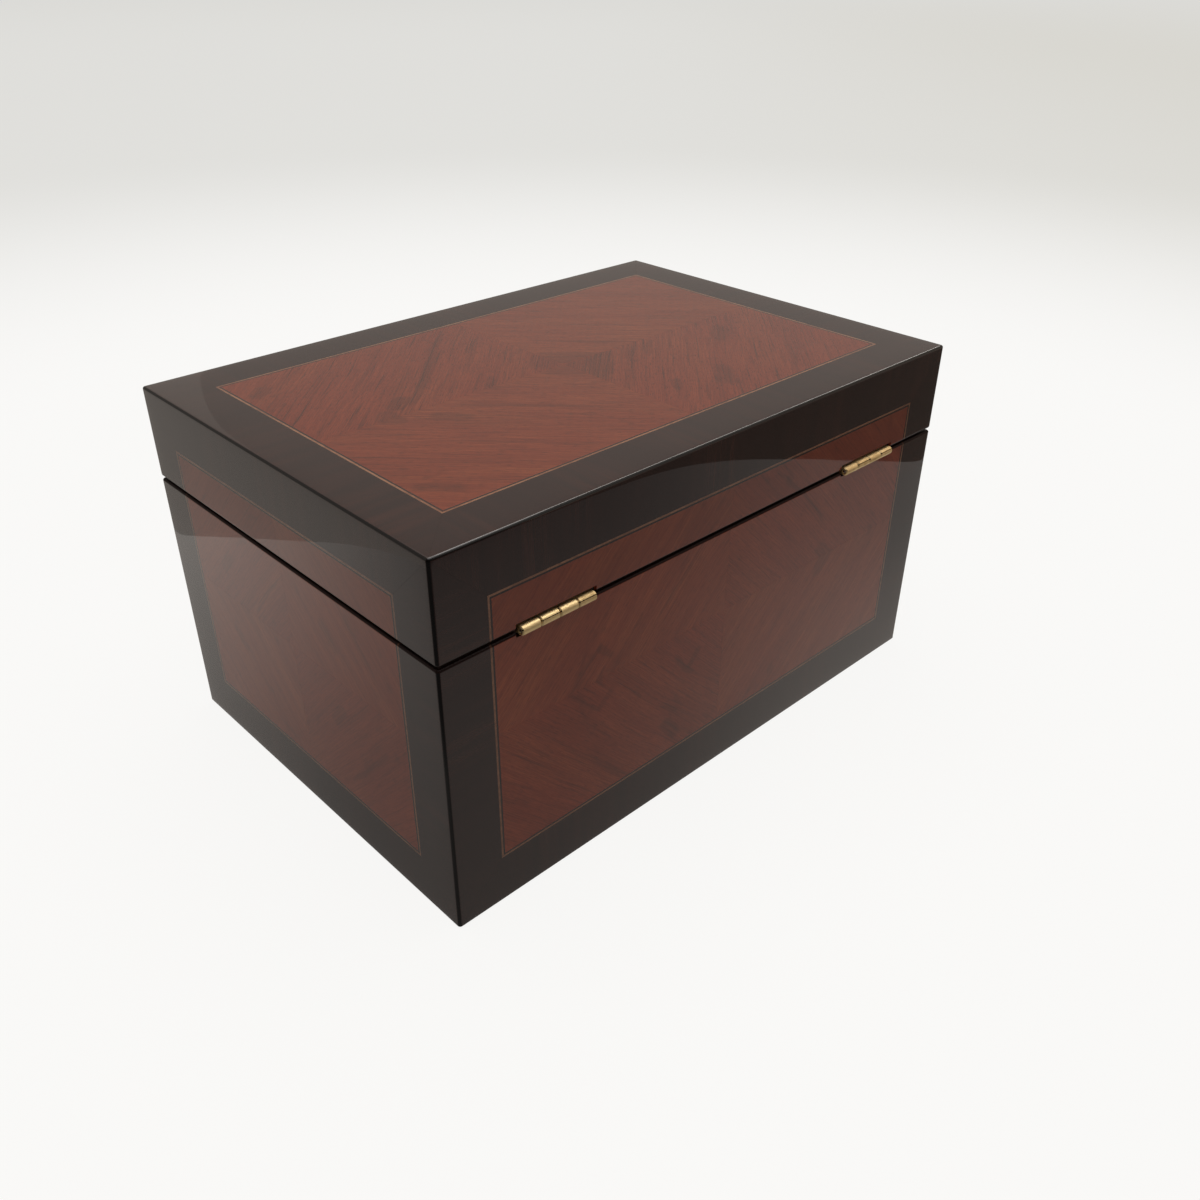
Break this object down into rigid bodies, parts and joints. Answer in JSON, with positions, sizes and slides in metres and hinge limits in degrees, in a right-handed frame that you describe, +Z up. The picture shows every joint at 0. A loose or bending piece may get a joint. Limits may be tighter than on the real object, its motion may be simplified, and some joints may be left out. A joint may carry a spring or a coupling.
{
  "type": "hinged wooden box",
  "caption": "Veneered wooden box with diamond-matched panels, dark borders, a hinged lid on brass butt hinges, a suede lining and a box lock.",
  "frame": {"origin": "middle of the flat underside, on the surface that the box stands on", "axes": "+X along the long side, +Y towards the back, where the hinges are, +Z up; the box is closed and the front faces -Y"},
  "size_m": [0.305, 0.2116, 0.17],
  "materials": {
    "border_veneer": "near-black brown veneer under high-gloss clear lacquer",
    "panel_veneer": "red-brown figured veneer under high-gloss clear lacquer",
    "light_stringing": "tan stringing under high-gloss clear lacquer",
    "dark_stringing": "dark stringing under high-gloss clear lacquer",
    "stained_core": "core wood, stained and lacquered dark at the rims",
    "suede": "sand-coloured suede cloth, soft nap",
    "felt": "dark felt",
    "brass": "pale polished brass with fine scratches",
    "screw_brass": "turned brass screws with slotted heads",
    "steel": "drawn steel"
  },
  "bodies": {
    "base": {"base_felt": "felt", "base_floor_board": "stained_core", "base_floor_pad": "suede", "base_light_stringing": "light_stringing", "base_dark_stringing": "dark_stringing", "left_hinge_base_leaf": "brass", "right_hinge_base_leaf": "brass", "left_hinge_pin": "steel", "right_hinge_pin": "steel", "base_hinge_screws": "screw_brass", "lock_case": "brass", "lock_cap": "brass", "lock_screws": "screw_brass", "keyhole_escutcheon": "brass", "base_front_board": "stained_core", "base_front_lining": "suede", "base_front_border": "border_veneer", "base_front_panel": "panel_veneer", "base_right_board": "stained_core", "base_right_lining": "suede", "base_right_border": "border_veneer", "base_right_panel": "panel_veneer", "base_back_board": "stained_core", "base_back_lining": "suede", "base_back_border": "border_veneer", "base_back_panel": "panel_veneer", "base_left_board": "stained_core", "base_left_lining": "suede", "base_left_border": "border_veneer", "base_left_panel": "panel_veneer"},
    "lid": {"lid_top_board": "stained_core", "lid_top_pad": "suede", "lid_top_border": "border_veneer", "lid_top_panel": "panel_veneer", "lid_light_stringing": "light_stringing", "lid_dark_stringing": "dark_stringing", "left_hinge_lid_leaf": "brass", "right_hinge_lid_leaf": "brass", "lid_hinge_screws": "screw_brass", "lock_link_plate": "brass", "link_plate_screws": "screw_brass", "lid_front_board": "stained_core", "lid_front_lining": "suede", "lid_front_border": "border_veneer", "lid_front_panel": "panel_veneer", "lid_right_board": "stained_core", "lid_right_lining": "suede", "lid_right_border": "border_veneer", "lid_right_panel": "panel_veneer", "lid_back_board": "stained_core", "lid_back_lining": "suede", "lid_back_border": "border_veneer", "lid_back_panel": "panel_veneer", "lid_left_board": "stained_core", "lid_left_lining": "suede", "lid_left_border": "border_veneer", "lid_left_panel": "panel_veneer"},
    "lock_bolt": {"lock_bolt": "steel"}
  },
  "joints": [
    {"name": "lid_hinge", "type": "hinge", "parent": "base", "child": "lid", "pos_m": [0, 0.1048, 0.1267], "axis": [-1, 0, 0], "range_deg": [0, 95]},
    {"name": "lock_bolt_slide", "type": "slide", "parent": "base", "child": "lock_bolt", "axis": [1, 0, 0], "range_m": [0, 0.0032]}
  ]
}
